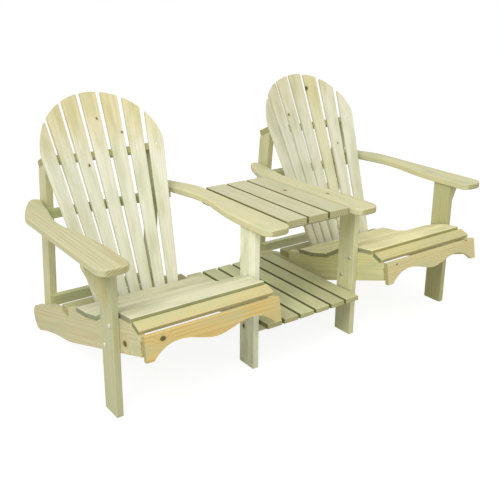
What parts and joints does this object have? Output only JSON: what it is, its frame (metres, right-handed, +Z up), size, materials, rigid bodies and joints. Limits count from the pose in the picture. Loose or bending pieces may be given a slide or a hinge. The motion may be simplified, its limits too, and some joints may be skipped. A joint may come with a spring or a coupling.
{
  "type": "double lounge chair",
  "caption": "Two slatted reclining garden chairs with fan backs and broad arms, joined side by side by a small table at arm height and a shelf below it.",
  "frame": {"origin": "centre of the bounding box on the ground, midway between the two chairs", "axes": "+Z up, front of the chairs towards -Y, +X to the right of someone who looks at the front"},
  "size_m": [1.841, 1.0279, 0.9952],
  "materials": {
    "pine": "planed softwood, pressure-treated, pale with a slight green tint, unpainted",
    "steel": "dull zinc-plated steel"
  },
  "bodies": {
    "root": {"back_screws": "steel", "left_apron": "pine", "left_arm_inner": "pine", "left_arm_outer": "pine", "left_arm_rail": "pine", "left_back_slat_1": "pine", "left_back_slat_2": "pine", "left_back_slat_3": "pine", "left_back_slat_4": "pine", "left_back_slat_5": "pine", "left_back_slat_6": "pine", "left_back_slat_7": "pine", "left_brace_rail": "pine", "left_bracket": "pine", "left_leg_inner": "pine", "left_leg_outer": "pine", "left_lower_rail": "pine", "left_nose_slat": "pine", "left_post_inner": "pine", "left_post_outer": "pine", "left_seat_slats": "pine", "left_stringer_inner": "pine", "left_stringer_outer": "pine", "left_upper_rail": "pine", "leg_bolts": "steel", "right_apron": "pine", "right_arm_inner": "pine", "right_arm_outer": "pine", "right_arm_rail": "pine", "right_back_slat_1": "pine", "right_back_slat_2": "pine", "right_back_slat_3": "pine", "right_back_slat_4": "pine", "right_back_slat_5": "pine", "right_back_slat_6": "pine", "right_back_slat_7": "pine", "right_brace_rail": "pine", "right_bracket": "pine", "right_leg_inner": "pine", "right_leg_outer": "pine", "right_lower_rail": "pine", "right_nose_slat": "pine", "right_post_inner": "pine", "right_post_outer": "pine", "right_seat_slats": "pine", "right_stringer_inner": "pine", "right_stringer_outer": "pine", "right_upper_rail": "pine", "shelf_batten_front": "pine", "shelf_batten_rear": "pine", "shelf_boards": "pine", "table_batten_front": "pine", "table_batten_rear": "pine", "table_board_1": "pine", "table_board_2": "pine", "table_board_3": "pine"}
  },
  "joints": []
}
